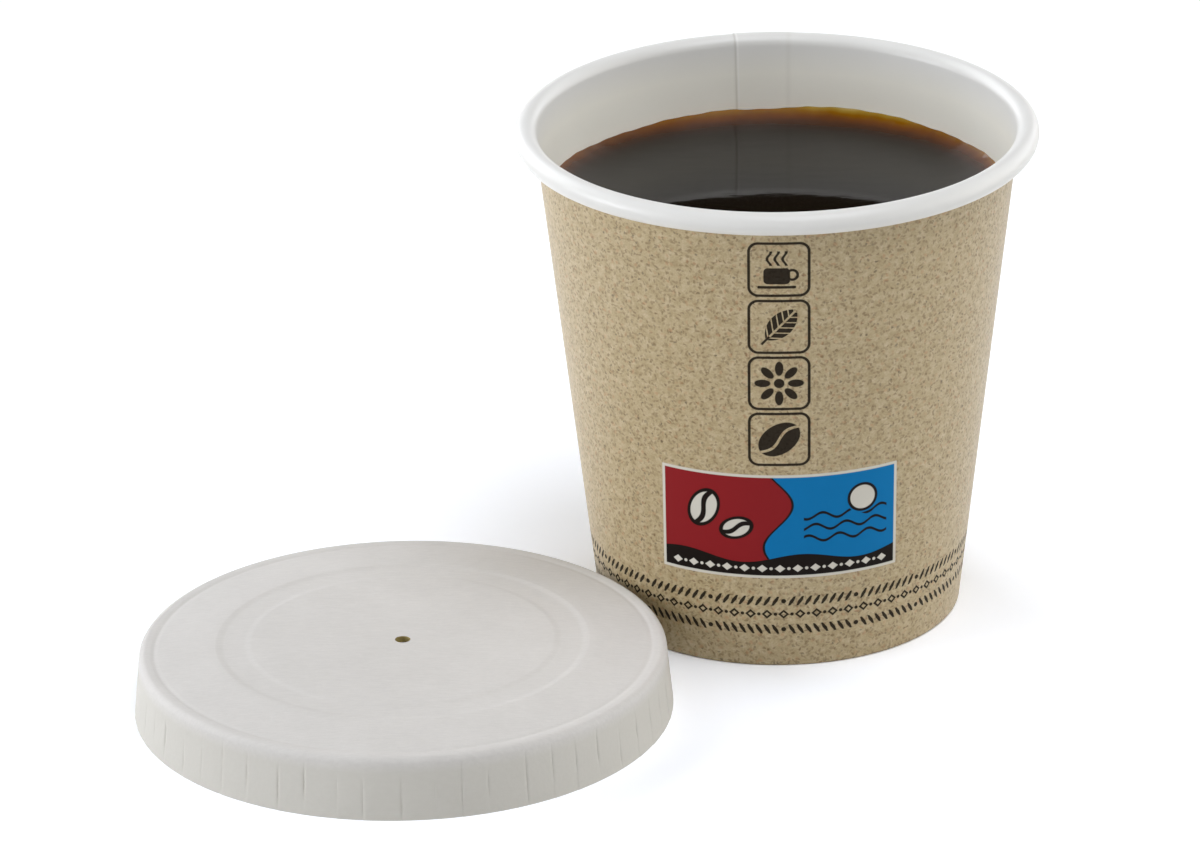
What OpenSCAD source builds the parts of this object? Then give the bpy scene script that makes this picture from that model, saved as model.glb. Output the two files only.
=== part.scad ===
// Small paper espresso cup, its black coffee, and the pleated paper lid
// that lies on the table beside it. Millimetres, +Z up, origin on the table
// at the centre of the cup's base. The front of the cup faces -Y.

/* [Cup] */
// Outside diameter of the rolled rim
rim_d = 62; // [56:0.5:72]
// Outside diameter of the wall where it meets the table
base_d = 43.4; // [38:0.2:48]
// Height from the table to the top of the rim
cup_h = 60.8; // [52:0.2:80]
// Thickness of the wall board
board_t = 0.3; // [0.25:0.01:0.36]
// Diameter of the rolled rim's own section
curl_d = 2.7; // [2.2:0.1:3.4]

/* [Chime] */
// Height of the folded hem above its fold, at the foot of the wall
hem_h = 5.4; // [4.4:0.1:7]
// Thickness of the base disc's board
base_t = 0.3; // [0.24:0.01:0.36]
// Rise from the top of the hem to the bend of the base disc
base_rise = 0.1; // [0.05:0.05:0.6]
// Radius of the bend between the base disc and its flange
bend_r = 0.6; // [0.45:0.05:1]
// Gap left for the sealing film between two pressed layers
seal_gap = 0.03; // [0.02:0.005:0.05]
// Depth that the fold is flattened where it stands on the table
foot_flat = 0.04; // [0.02:0.005:0.08]

/* [Side seam] */
// Direction of the seam round the cup, where the back is 90 degrees
seam_at = 92.2; // [60:0.2:120]
// Width of the overlap just under the rim
seam_w = 6.5; // [4:0.25:9]
// Height of the outer layer's cut edge above the wall
lap_step = 0.2; // [0.12:0.01:0.24]
// Depth of the inner layer's cut edge on the inside
inner_step = 0.12; // [0.08:0.01:0.16]

/* [Coffee] */
// Depth of the coffee's level below the top of the rim
coffee_drop = 10.4; // [7:0.2:30]
// Height that the coffee climbs at the wall
meniscus_h = 2; // [0.4:0.1:2.4]
// Distance from the wall at which about a third of the climb is left
meniscus_w = 2.5; // [1.6:0.1:3]
// Gap between the coffee and the board
coffee_gap = 0.05; // [0.03:0.01:0.1]

/* [Lid] */
// Height of the lid at its edge
lid_h = 7.5; // [6:0.1:10]
// Thickness of the lid's board
lid_t = 0.35; // [0.3:0.01:0.42]
// Play between the lid and the cup's rim, on the radius
lid_fit = 0.05; // [0.02:0.01:0.2]
// Flare of the skirt from its top to its mouth, on the radius
lid_flare = 0.25; // [0.1:0.05:0.5]
// Outside radius of the corner between top and skirt
lid_corner = 0.8; // [0.7:0.1:1.6]
// Rise of the middle of the top above its edge
lid_crown = 0.8; // [0.5:0.05:1.2]
// Inner radius of the pressed channel in the top
channel_in = 17.6; // [14:0.1:19]
// Width of the pressed channel
channel_w = 4.4; // [3:0.1:5.4]
// Depth of the pressed channel
channel_depth = 0.2; // [0.15:0.05:0.35]
// Diameter of the vent hole
vent_d = 1.8; // [1.2:0.1:2.4]
// Number of pleats round the skirt
pleats = 54; // [36:1:60]
// Width of a pleat's fold line
pleat_w = 0.22; // [0.16:0.01:0.3]
// Depth of a pleat's fold line
pleat_depth = 0.1; // [0.06:0.01:0.14]

/* [Lid on the table] */
// Direction from the cup to the lid, where the front is -90 degrees
lid_dir = -145.5; // [-170:0.5:-100]
// Gap between the lid's skirt and the cup's wall
lid_apart = 0.5; // [0.4:0.1:20]

/* [Hidden] */
$fn = 96;

kraft = "#c8ab7d";
white_board = "#f1efea";
coffee_brown = "#2a160b";
pulp_white = "#dcdad3";

// Rolled rim: the centre and the radius of its section
curl_r = curl_d / 2;
curl_x = rim_d / 2 - curl_r;
curl_z = cup_h - curl_r;
// Bite of the wall into the curl, which keeps the join a clean crossing
curl_bite = 0.03;

// Wall cone, outside face
foot_r = base_d / 2;
wall_top_r = curl_x - (curl_r - curl_bite - board_t);
lean = atan((wall_top_r - foot_r) / curl_z);
wall_len = curl_z / cos(lean) + 0.1;
function wall_r(z) = foot_r + z * tan(lean);
function inner_r(z) = wall_r(z) - board_t / cos(lean);

// Fold at the foot: wall, flange of the base and hem, pressed together
fold_w = 2 * board_t + 2 * seal_gap + base_t;
fold_up = (fold_w / 2 * (1 - sin(lean)) - foot_flat) / cos(lean);
hem_top = (fold_up + hem_h) * cos(lean) + fold_w * sin(lean);
base_z = hem_top + base_rise + bend_r - base_t;
base_top = base_z + base_t;

// Side seam, in degrees round the cup
seam_half = seam_w / 2 / wall_top_r * 180 / PI;
outer_edge = seam_at - seam_half;
inner_edge = seam_at + seam_half;
ramp_angle = 5.5;
lap_slope = 8.5 * sqrt(lap_step / 0.2);
inner_slope = 7 * sqrt(inner_step / 0.12);
lap_top = wall_len - curl_d;
recess_top = wall_len - curl_r;

// Coffee
coffee_z = cup_h - coffee_drop;

// Lid
skirt_r = rim_d / 2 + lid_fit + lid_t;
mouth_r = skirt_r + lid_flare;
corner_x = skirt_r - lid_corner;
corner_z = lid_h - lid_corner;
crease_r = corner_x - 1;
crease_w = 0.4;
crease_depth = 0.12;
press_w = 0.9;
channel_out = channel_in + channel_w;
ring_z = lid_h + lid_crown - channel_depth;
lid_way = wall_r(corner_z) + skirt_r + lid_apart;
lid_x = lid_way * cos(lid_dir);
lid_y = lid_way * sin(lid_dir);

function arc(x, y, r, from, to, steps) =
    [for (i = [0 : steps]) let (a = from + (to - from) * i / steps) [x + r * cos(a), y + r * sin(a)]];

// Frame of the wall's section: u across the board, v up along the wall
module along_wall() {
    translate([foot_r, 0])
        rotate(-lean)
            translate([0, fold_up])
                children();
}

// Section of the board from the hem's edge, round the fold and up to the curl
module wall_strip() {
    along_wall() {
        translate([-board_t, 0])
            square([board_t, wall_len - fold_up]);
        translate([-fold_w, 0])
            square([board_t, hem_h]);
        difference() {
            translate([-fold_w / 2, 0])
                circle(fold_w / 2);
            translate([-fold_w / 2, 0])
                circle(fold_w / 2 - board_t);
            translate([-fold_w, 0])
                square([fold_w, fold_w]);
        }
    }
}

// Slot that parts the tail of the curl from the wall
module curl_slot() {
    reach = curl_r - curl_bite - board_t / 2;
    foot = [-reach * cos(lean), reach * sin(lean)];
    polygon([[0, 0], foot, foot + 2.5 * [-sin(lean), -cos(lean)]]);
}

// Section of the rolled rim, grown by the seam's extra layer where it laps
module curl(extra = 0) {
    translate([curl_x, curl_z])
        difference() {
            circle(curl_r + extra);
            curl_slot();
        }
}

module wall_section() {
    difference() {
        union() {
            wall_strip();
            curl();
        }
        translate([curl_x, curl_z])
            circle(curl_r - board_t);
        translate([0, -fold_w])
            square([rim_d, fold_w]);
    }
}

// Everything outside a flat face that leans with the wall and cuts in behind an edge
module beyond_edge(edge_r, slope) {
    rotate([0, 0, inner_edge])
        translate([edge_r, 0, 0])
            rotate([0, lean, 0])
                rotate([0, 0, slope])
                    translate([0, -1, -1])
                        cube([4, 8, 2 * cup_h]);
}

// Outer layer of the side seam: a cut edge on one side, faired into the wall on the other
module seam_lap() {
    difference() {
        rotate_extrude(start = outer_edge, angle = inner_edge + ramp_angle - outer_edge)
            along_wall()
                translate([-board_t / 2, 0])
                    square([board_t / 2 + lap_step, lap_top]);
        beyond_edge(foot_r + lap_step / cos(lean), lap_slope);
    }
    rotate_extrude(start = outer_edge, angle = inner_edge - outer_edge)
        difference() {
            curl(lap_step / 2);
            translate([curl_x, curl_z])
                circle(curl_r - board_t / 2);
        }
}

// Hollow behind the inner layer's cut edge, where the wall steps out over it
module seam_recess() {
    difference() {
        rotate_extrude(start = inner_edge, angle = ramp_angle)
            along_wall()
                translate([-board_t - 1, base_top + 1])
                    square([1 + inner_step, recess_top - base_top - 1]);
        beyond_edge(foot_r - (board_t - inner_step) / cos(lean), inner_slope);
    }
}

module cup_wall() {
    color(kraft)
        difference() {
            union() {
                rotate_extrude()
                    wall_section();
                seam_lap();
            }
            seam_recess();
        }
}

// Base disc with its turned-down flange, held in the fold of the wall
module cup_base() {
    skin = (board_t + seal_gap) / cos(lean);
    outer = wall_r(base_top) - skin;
    flange_t = base_t / cos(lean);
    low = fold_up * cos(lean) + fold_w * sin(lean) + seal_gap;
    bend_x = outer - bend_r * (1 + sin(lean)) / cos(lean);
    bend_z = base_top - bend_r;
    color(white_board)
        rotate_extrude()
            polygon(concat(
                [[0, base_z], [0, base_top]],
                arc(bend_x, bend_z, bend_r, 90, -lean, 6),
                [[wall_r(low) - skin, low], [wall_r(low) - skin - flange_t, low]],
                arc(bend_x, bend_z, bend_r - base_t, -lean, 90, 6)
            ));
}

module coffee() {
    low = base_top + coffee_gap;
    side = coffee_gap / cos(lean);
    high = coffee_z + meniscus_h;
    edge_r = inner_r(high) - side;
    color(coffee_brown)
        rotate_extrude()
            polygon(concat(
                [[0, low], [inner_r(low) - side, low], [edge_r, high]],
                [for (i = [1 : 8])
                    let (in = meniscus_w * i * (i + 4) / 24)
                    [edge_r - in, coffee_z + meniscus_h * exp(-in / meniscus_w) * (1 - pow(i / 8, 3))]],
                [[0, coffee_z]]
            ));
}

// Upper face of the lid's top, from the middle to the corner
function lid_top(drop) = [
    [0, lid_h + lid_crown - drop],
    [channel_in, lid_h + lid_crown - drop],
    [channel_in + press_w, ring_z - drop],
    [channel_out - press_w, ring_z - drop],
    [channel_out, ring_z + channel_depth / 2 - drop],
    [crease_r - crease_w, lid_h - drop],
    [crease_r, lid_h - crease_depth - drop],
    [crease_r + crease_w, lid_h - drop],
    [corner_x, lid_h - drop]
];

module lid_section() {
    outside = concat(
        lid_top(0),
        arc(corner_x, corner_z, lid_corner, 81, 0, 9),
        [[mouth_r, 0]]
    );
    inside = concat(
        lid_top(lid_t),
        arc(corner_x, corner_z, lid_corner - lid_t, 81, 0, 9),
        [[mouth_r - lid_t, 0]]
    );
    polygon(concat(outside, [for (i = [len(inside) - 1 : -1 : 0]) inside[i]]));
}

// Fold lines where the skirt's spare board is gathered, one in each pleat
module pleat_lines() {
    skirt_lean = atan(lid_flare / corner_z);
    for (i = [0 : pleats - 1]) {
        swing = 1.1 * sin(i * 137);
        long = corner_z * (0.86 + 0.06 * sin(i * 71));
        rotate([0, 0, (i + 0.5) * 360 / pleats + swing])
            translate([mouth_r - pleat_depth, -pleat_w / 2, 0])
                rotate([0, -skirt_lean, 0])
                    translate([0, 0, -0.5])
                        cube([1, pleat_w, long + 0.5]);
    }
}

module lid() {
    color(pulp_white)
        translate([lid_x, lid_y, 0])
            difference() {
                rotate_extrude()
                    lid_section();
                pleat_lines();
                translate([0, 0, lid_h - 1])
                    cylinder(h = lid_crown + 2, d = vent_d);
            }
}

cup_wall();
cup_base();
coffee();
lid();
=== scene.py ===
# %% [markdown]
# A small paper espresso cup stands full of black coffee, with its paper lid lying beside it.
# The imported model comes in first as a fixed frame: it says where every piece is and how big.
# Each visible piece is then made again as a finer mesh in the same place, with its finish.
# %% Load the frame
import math
import bmesh
import bpy
from mathutils import Matrix, Vector


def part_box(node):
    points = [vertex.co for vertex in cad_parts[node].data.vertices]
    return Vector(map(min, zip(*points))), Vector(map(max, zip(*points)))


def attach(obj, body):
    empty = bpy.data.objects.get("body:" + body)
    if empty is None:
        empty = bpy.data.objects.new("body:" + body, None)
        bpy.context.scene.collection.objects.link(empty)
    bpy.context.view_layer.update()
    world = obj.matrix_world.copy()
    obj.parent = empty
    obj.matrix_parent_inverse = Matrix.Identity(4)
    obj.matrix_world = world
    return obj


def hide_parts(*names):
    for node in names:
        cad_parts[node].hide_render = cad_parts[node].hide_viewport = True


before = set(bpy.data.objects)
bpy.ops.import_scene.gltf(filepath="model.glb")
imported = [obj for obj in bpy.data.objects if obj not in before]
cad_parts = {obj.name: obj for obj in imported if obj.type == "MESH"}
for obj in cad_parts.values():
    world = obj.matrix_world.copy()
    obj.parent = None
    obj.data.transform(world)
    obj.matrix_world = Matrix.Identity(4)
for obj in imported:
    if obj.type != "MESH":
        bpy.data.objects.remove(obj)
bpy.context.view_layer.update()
MM = 0.001
print("nodes:", sorted(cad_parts))

# %% [markdown]
# The cup's sizes are the real ones in millimetres. What the frame can say is read from it,
# and the rest are the maker's sizes: the thickness of the board, the roll of the rim, the
# fold at the foot. One name for each size keeps the pieces fitting each other.
# %% Sizes of the cup and the lid
wall_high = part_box("cup_wall")[1] / MM
lid_low, lid_high = (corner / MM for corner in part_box("lid"))
coffee_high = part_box("coffee")[1] / MM

RIM_R = wall_high.x
BOARD = 0.3
CURL_R = 1.35
CURL_BITE = 0.03
SEAL = 0.03
BASE_BOARD = 0.3
FOOT_R = 21.7
CUP_H = 60.8
HEM_H = 5.4
FOOT_FLAT = 0.04

CURL_X = RIM_R - CURL_R
CURL_Z = CUP_H - CURL_R
WALL_TOP_R = CURL_X - (CURL_R - CURL_BITE - BOARD)
LEAN = math.atan((WALL_TOP_R - FOOT_R) / CURL_Z)
FOLD_W = 2 * BOARD + 2 * SEAL + BASE_BOARD
FOLD_UP = (FOLD_W / 2 * (1 - math.sin(LEAN)) - FOOT_FLAT) / math.cos(LEAN)


def wall_r(z):
    return FOOT_R + z * math.tan(LEAN)


def inner_r(z):
    return wall_r(z) - BOARD / math.cos(LEAN)


lid_x = (lid_low.x + lid_high.x) / 2
lid_y = (lid_low.y + lid_high.y) / 2
print(f"rim {2 * RIM_R:.1f} mm across, wall leans {math.degrees(LEAN):.2f} degrees")
print(f"the lid's middle is at {lid_x:.1f}, {lid_y:.1f} mm")

# %% [markdown]
# Shader and geometry maths read better as sums than as boxes and wires. This small class
# wraps a socket, so that a * b + 1 adds the Math nodes by itself. One method adds any other
# node: its type, its settings, and what goes into its sockets.
# %% Write nodes as expressions


class Value:
    def __init__(self, board, socket):
        self.board = board
        self.socket = socket

    def math(self, operation, *others, clamp=False):
        settings = {"operation": operation, "use_clamp": clamp}
        return self.board.add("ShaderNodeMath", settings, [self, *others])

    def clamped(self):
        return self.math("ADD", 0.0, clamp=True)

    def out(self, name):
        return Value(self.board, self.socket.node.outputs[name])

    def __add__(self, other):
        return self.math("ADD", other)

    def __radd__(self, other):
        return self.math("ADD", other)

    def __sub__(self, other):
        return self.math("SUBTRACT", other)

    def __rsub__(self, other):
        return self.board.add("ShaderNodeMath", {"operation": "SUBTRACT"}, [other, self])

    def __mul__(self, other):
        return self.math("MULTIPLY", other)

    def __rmul__(self, other):
        return self.math("MULTIPLY", other)

    def __truediv__(self, other):
        return self.math("DIVIDE", other)

    def __rtruediv__(self, other):
        return self.board.add("ShaderNodeMath", {"operation": "DIVIDE"}, [other, self])

    def __neg__(self):
        return self.math("MULTIPLY", -1.0)

    def __abs__(self):
        return self.math("ABSOLUTE")


class Board:
    def __init__(self, tree):
        self.tree = tree

    def add(self, kind, settings=None, inputs=(), out=0):
        node = self.tree.nodes.new(kind)
        for name, setting in (settings or {}).items():
            setattr(node, name, setting)
        pairs = inputs.items() if isinstance(inputs, dict) else enumerate(inputs)
        for name, given in pairs:
            socket = node.inputs[name]
            if isinstance(given, Value):
                self.tree.links.new(given.socket, socket)
            else:
                socket.default_value = given
        return Value(self, node.outputs[out]) if node.outputs else node

    def ramp(self, factor, stops):
        result = self.add("ShaderNodeValToRGB", inputs=[factor])
        elements = result.socket.node.color_ramp.elements
        while len(elements) < len(stops):
            elements.new(0.5)
        for element, (place, colour) in zip(elements, stops):
            element.position = place
            element.color = (*colour, 1)
        return result

    def mix(self, factor, first, second):
        inputs = {0: factor}
        for index, colour in ((6, first), (7, second)):
            inputs[index] = colour if isinstance(colour, Value) else (*colour, 1)
        return self.add("ShaderNodeMix", {"data_type": "RGBA"}, inputs, out=2)

    def noise(self, vector, scale, detail=3.0, rough=0.5, out="Fac"):
        inputs = {"Vector": vector, "Scale": scale, "Detail": detail, "Roughness": rough}
        return self.add("ShaderNodeTexNoise", {}, inputs, out=out)

    def vector(self, operation, first, second):
        out = 1 if operation == "LENGTH" else 0
        inputs = {0: first, 1: second}
        return self.add("ShaderNodeVectorMath", {"operation": operation}, inputs, out=out)

    def scaled(self, vector, x, y, z):
        return self.vector("MULTIPLY", vector, (x, y, z))

    def split(self, vector):
        x = self.add("ShaderNodeSeparateXYZ", {}, [vector])
        return x, x.out("Y"), x.out("Z")


def srgb(red, green, blue):
    def straight(level):
        level = level / 255
        return level / 12.92 if level <= 0.04045 else ((level + 0.055) / 1.055) ** 2.4
    return tuple(straight(level) for level in (red, green, blue))


def length(a, b):
    return (a * a + b * b).math("SQRT")


print("the value of a node can now be added, subtracted, multiplied and divided")

# %% [markdown]
# The camera stands where the picture was taken from: about 23 degrees above the table and
# nearly a metre away, with a long lens and a slight roll. Its place was worked out from the
# ellipse of the rim, the taper of the wall and the line of the foot.
# %% Camera
CAMERA_AT = Vector((-21.35, -914.78, 411.75)) * MM
CAMERA_PITCH = math.radians(23.073)
CAMERA_ROLL = math.radians(-0.843)
PICTURE_W = 1200
FOCAL_PX = 8298.5
SENSOR = 36.0

camera_data = bpy.data.cameras.new("camera")
camera_data.sensor_width = SENSOR
camera_data.sensor_fit = "HORIZONTAL"
camera_data.lens = SENSOR * FOCAL_PX / PICTURE_W
camera_data.clip_start = 0.01
camera = bpy.data.objects.new("camera", camera_data)
tilt = Matrix.Rotation(math.pi / 2 - CAMERA_PITCH, 4, "X")
camera.matrix_world = Matrix.Translation(CAMERA_AT) @ tilt @ Matrix.Rotation(CAMERA_ROLL, 4, "Z")
bpy.context.scene.collection.objects.link(camera)
bpy.context.scene.camera = camera
print(f"lens {camera_data.lens:.0f} mm, {CAMERA_AT.length * 1000:.0f} mm from the cup")

# %% [markdown]
# A cup, its base, the coffee in it and a lid are all turned shapes: one section swept round
# an axis. So one Geometry Nodes tree turns any section. It lays a grid, reads the section's
# point for each row, and stands each column at its angle. What isn't round, such as a seam
# or a pleat, is a push of the section's points, with a strength for each column.
# %% Turn a section into a sheet
WELD = 0.001 * MM
SHARP_FROM = 50


def section_mesh(name, points, pushes, printed=()):
    """Section points (r, z) in mm, with pushes (dr, dz) and the numbers of the printed points."""
    mesh = bpy.data.meshes.new(name)
    mesh.from_pydata([(r * MM, 0, z * MM) for r, z in points], [], [])
    flags = mesh.attributes.new("printed", "FLOAT", "POINT")
    flags.data.foreach_set("value", [float(i in printed) for i in range(len(points))])
    for push_name, values in pushes.items():
        attribute = mesh.attributes.new(push_name, "FLOAT_VECTOR", "POINT")
        for place, (dr, dz) in zip(attribute.data, values):
            place.vector = (dr * MM, 0, dz * MM)
    return bpy.data.objects.new(name, mesh)


def even_angle(board, column, given):
    return column / given.out("Columns") * (2 * math.pi)


def turning_tree(name, angle_of=even_angle, strengths=None, sizes=None, closed=False):
    """A tree that turns a section. Each push has a strength, a function of angle and column."""
    tree = bpy.data.node_groups.new(name, "GeometryNodeTree")
    face = tree.interface
    kinds = {"Section": "Geometry", "Columns": "Int", **{size: "Float" for size in sizes or {}}}
    kinds.update({"Material": "Material", "Print": "Material"})
    for given_name, kind in kinds.items():
        face.new_socket(given_name, in_out="INPUT", socket_type="NodeSocket" + kind)
    face.new_socket("Geometry", in_out="OUTPUT", socket_type="NodeSocketGeometry")
    board = Board(tree)
    given = board.add("NodeGroupInput")
    section = given.out("Section")
    size = board.add("GeometryNodeAttributeDomainSize", {}, [section])
    rows = size + (1 if closed else 0)
    grid_inputs = {"Vertices X": given.out("Columns") + 1, "Vertices Y": rows}
    grid = board.add("GeometryNodeMeshGrid", {}, grid_inputs)
    index = board.add("GeometryNodeInputIndex")
    column = (index / rows).math("FLOOR")
    row = (index - column * rows).math("MODULO", size)
    angle = angle_of(board, column, given)

    def named(attribute, kind):
        return board.add("GeometryNodeInputNamedAttribute", {"data_type": kind}, {"Name": attribute})

    def read(what, kind="FLOAT_VECTOR"):
        inputs = {"Geometry": section, "Value": what, "Index": row}
        return board.add("GeometryNodeSampleIndex", {"data_type": kind, "domain": "POINT"}, inputs)

    place = read(board.add("GeometryNodeInputPosition"))
    for push, strength in (strengths or {}).items():
        moved = {0: read(named(push, "FLOAT_VECTOR")), "Scale": strength(board, angle, column, given)}
        part = board.add("ShaderNodeVectorMath", {"operation": "SCALE"}, moved)
        place = board.vector("ADD", place, part)
    turn = {"Vector": place, "Center": (0, 0, 0), "Angle": angle}
    place = board.add("ShaderNodeVectorRotate", {"rotation_type": "Z_AXIS"}, turn)
    flag = {"Geometry": grid, "Name": "printed", "Value": read(named("printed", "FLOAT"), "FLOAT")}
    grid = board.add("GeometryNodeStoreNamedAttribute", {"data_type": "FLOAT"}, flag)
    sheet = board.add("GeometryNodeSetPosition", {}, {"Geometry": grid, "Position": place})
    sheet = board.add("GeometryNodeMergeByDistance", {}, {"Geometry": sheet, "Distance": WELD})
    sheet = board.add("GeometryNodeSetShadeSmooth", {}, {"Geometry": sheet})
    sheet = board.add("GeometryNodeRealizeInstances", {}, [sheet])
    plain = {"Geometry": sheet, "Material": given.out("Material")}
    sheet = board.add("GeometryNodeSetMaterial", {}, plain)
    on_print = named("printed", "FLOAT").math("GREATER_THAN", 0.9)
    second = {"Geometry": sheet, "Selection": on_print, "Material": given.out("Print")}
    board.add("NodeGroupOutput", {}, [board.add("GeometryNodeSetMaterial", {}, second)])
    return tree


def turned(section, tree, columns, material, printed=None, sizes=None):
    """Runs the tree on a section and returns a plain mesh object whose faces point outwards."""
    bpy.context.scene.collection.objects.link(section)
    modifier = section.modifiers.new("turn", "NODES")
    modifier.node_group = tree
    values = {"Columns": columns, "Material": material, "Print": printed or material}
    values.update(sizes or {})
    for item in tree.interface.items_tree:
        if item.in_out == "INPUT" and item.name in values:
            modifier[item.identifier] = values[item.name]
    bpy.context.view_layer.update()
    evaluated = section.evaluated_get(bpy.context.evaluated_depsgraph_get())
    mesh = bpy.data.meshes.new_from_object(evaluated)
    mesh.name = section.name
    section.modifiers.remove(modifier)
    section.data = mesh
    while None in mesh.materials[:]:
        mesh.materials.pop(index=mesh.materials[:].index(None))
    work = bmesh.new()
    work.from_mesh(mesh)
    bmesh.ops.recalc_face_normals(work, faces=work.faces)
    open_edges = sum(not edge.is_manifold for edge in work.edges)
    work.to_mesh(mesh)
    work.free()
    mesh.set_sharp_from_angle(angle=math.radians(SHARP_FROM))
    print(f"{section.name}: {len(mesh.polygons)} faces, {open_edges} open edges")
    return section


def arc(x, z, radius, start, stop, steps):
    """Points on an arc in the section, with angles in degrees."""
    angles = [math.radians(start + (stop - start) * i / steps) for i in range(steps + 1)]
    return [(x + radius * math.cos(a), z + radius * math.sin(a)) for a in angles]


def line(first, last, steps):
    """Points from first to last, without the last."""
    spread = [i / steps for i in range(steps)]
    return [(first[0] + (last[0] - first[0]) * t, first[1] + (last[1] - first[1]) * t) for t in spread]


def smooth_step(low, high, value):
    t = min(max((value - low) / (high - low), 0), 1)
    return t * t * (3 - 2 * t)


# %% [markdown]
# The printed side of the cup shows a kraft ground, a column of four small framed pictures,
# a two-colour panel and three ornament rows at the foot. All of it is ink on flat board.
# It could be one painted image, but shapes described by distances stay crisp at any size.
# Places are measured as on the flat blank: s mm round the wall from the front, and z mm up
# from the table. The count of s breaks where the outer layer of the seam is cut. A distance
# is negative inside a shape.
# %% Places on the printed wall
SEAM_AT = 92.2
SEAM_W = 6.5
SEAM_HALF = math.degrees(SEAM_W / 2 / WALL_TOP_R)
CUT_EDGE_AT = SEAM_AT - SEAM_HALF
INNER_CUT_AT = SEAM_AT + SEAM_HALF
CUT_FROM_FRONT = math.radians(CUT_EDGE_AT + 90)
EDGE_SOFT = 0.08


def object_mm(board):
    return board.scaled(board.add("ShaderNodeTexCoord").out("Object"), 1000, 1000, 1000)


def print_coordinates(board):
    """The place s, z on the blank in mm, and the angle from the front in radians."""
    x, y, z = board.split(object_mm(board))
    turn = x.math("ARCTAN2", -y)
    angle = turn - turn.math("GREATER_THAN", CUT_FROM_FRONT) * (2 * math.pi)
    return angle * length(x, y), z, angle


def filled(distance, soft=EDGE_SOFT):
    return (0.5 - distance / soft).clamped()


def disc(s, z, centre_s, centre_z, radius):
    return length(s - centre_s, z - centre_z) - radius


def stroke(distance, width):
    return abs(distance) - width / 2


def panel(s, z, centre_s, centre_z, half_w, half_h, corner):
    ds = abs(s - centre_s) - (half_w - corner)
    dz = abs(z - centre_z) - (half_h - corner)
    outside = length(ds.math("MAXIMUM", 0.0), dz.math("MAXIMUM", 0.0))
    inside = ds.math("MAXIMUM", dz).math("MINIMUM", 0.0)
    return outside + inside - corner


def combined(operation, values):
    result = values[0]
    for value in values[1:]:
        result = result.math(operation, value)
    return result


def either(*distances):
    return combined("MINIMUM", distances)


def both(*distances):
    return combined("MAXIMUM", distances)


def repeated(along, pitch, shift=0.0):
    """The number of the nearest of the shapes at an even pitch, and the way along from it."""
    place = along / pitch - shift
    number = place.math("ROUND")
    return number, (place - number) * pitch


def turned_axes(s, z, centre_s, centre_z, degrees):
    c = math.cos(math.radians(degrees))
    n = math.sin(math.radians(degrees))
    ds = s - centre_s
    dz = z - centre_z
    return ds * c + dz * n, dz * c - ds * n


print(f"the print breaks at the cut edge, {CUT_EDGE_AT:.1f} degrees round")

# %% [markdown]
# Four small framed pictures stand in a column on the front. They are plain pictures of this
# cup's own: a steaming cup, a leaf, a flower and a coffee bean. Each is a union or an overlap
# of a few simple shapes, as a cut stencil would be, in millimetres from its frame's middle.
# %% Framed pictures
PRINT_S = -0.47
FRAME_HALF_W = 3.5
FRAME_HALF_H = 3.4
FRAME_CORNER = 1.1
FRAME_LINE = 0.34
FRAME_Z = [53.05, 45.55, 38.1, 30.65]
PETALS = 8


def steaming_cup(s, z, at_s, at_z):
    bowl = panel(s, z, at_s - 0.25, at_z - 0.85, 1.55, 1.05, 0.5)
    handle = stroke(disc(s, z, at_s + 1.55, at_z - 0.7, 0.62), 0.34)
    saucer = panel(s, z, at_s - 0.25, at_z - 2.3, 2.25, 0.18, 0.15)
    wave = ((z - at_z) * 3.4).math("SINE") * 0.22
    steam = [abs(s - (at_s - 0.25 + place) - wave) - 0.17 for place in (-0.9, 0.0, 0.9)]
    rising = abs(z - (at_z + 1.45)) - 0.95
    return either(bowl, handle, saucer, both(either(*steam), rising))


def leaf(s, z, at_s, at_z):
    along, across = turned_axes(s, z, at_s + 0.25, at_z + 0.25, 48)
    blade = both(disc(along, across, 0.0, 1.75, 3.2), disc(along, across, 0.0, -1.75, 3.2))
    vein = -(abs(across) - 0.12)
    rib_place = (along * 1.1 - abs(across) * 0.9).math("FRACT") - 0.5
    ribs = -(abs(rib_place) - 0.1)
    stalk = both(abs(across) - 0.15, abs(along + 2.75) - 0.7)
    return either(both(blade, vein, ribs), stalk)


def flower(s, z, at_s, at_z):
    ds = s - at_s
    dz = z - at_z
    away = length(ds, dz)
    number, off = repeated(dz.math("ARCTAN2", ds), 2 * math.pi / PETALS)
    along = away * off.math("COSINE") - 1.95
    across = away * off.math("SINE")
    petal = length(along / 0.95, across / 0.5) - 1
    return either(petal * 0.5, away - 0.62)


def bean(s, z, at_s, at_z, long=2.75, wide=1.9, degrees=38):
    """An oval with a waved groove; long and wide are its half lengths."""
    along, across = turned_axes(s, z, at_s, at_z, degrees)
    body = length(along / long, across / wide) - 1
    curve = (along * (math.pi / long)).math("SINE") * (wide * 0.22)
    groove = -(abs(across - curve) - wide * 0.09)
    return both(body * wide, groove)


PICTURES = [steaming_cup, leaf, flower, bean]


def framed_pictures(s, z):
    shapes = []
    for picture, at_z in zip(PICTURES, FRAME_Z):
        frame_line = panel(s, z, PRINT_S, at_z, FRAME_HALF_W, FRAME_HALF_H, FRAME_CORNER)
        shapes += [stroke(frame_line, FRAME_LINE), picture(s, z, PRINT_S, at_z)]
    return filled(either(*shapes))


print(f"{len(PICTURES)} framed pictures, {2 * FRAME_HALF_W:.1f} mm wide")

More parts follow.
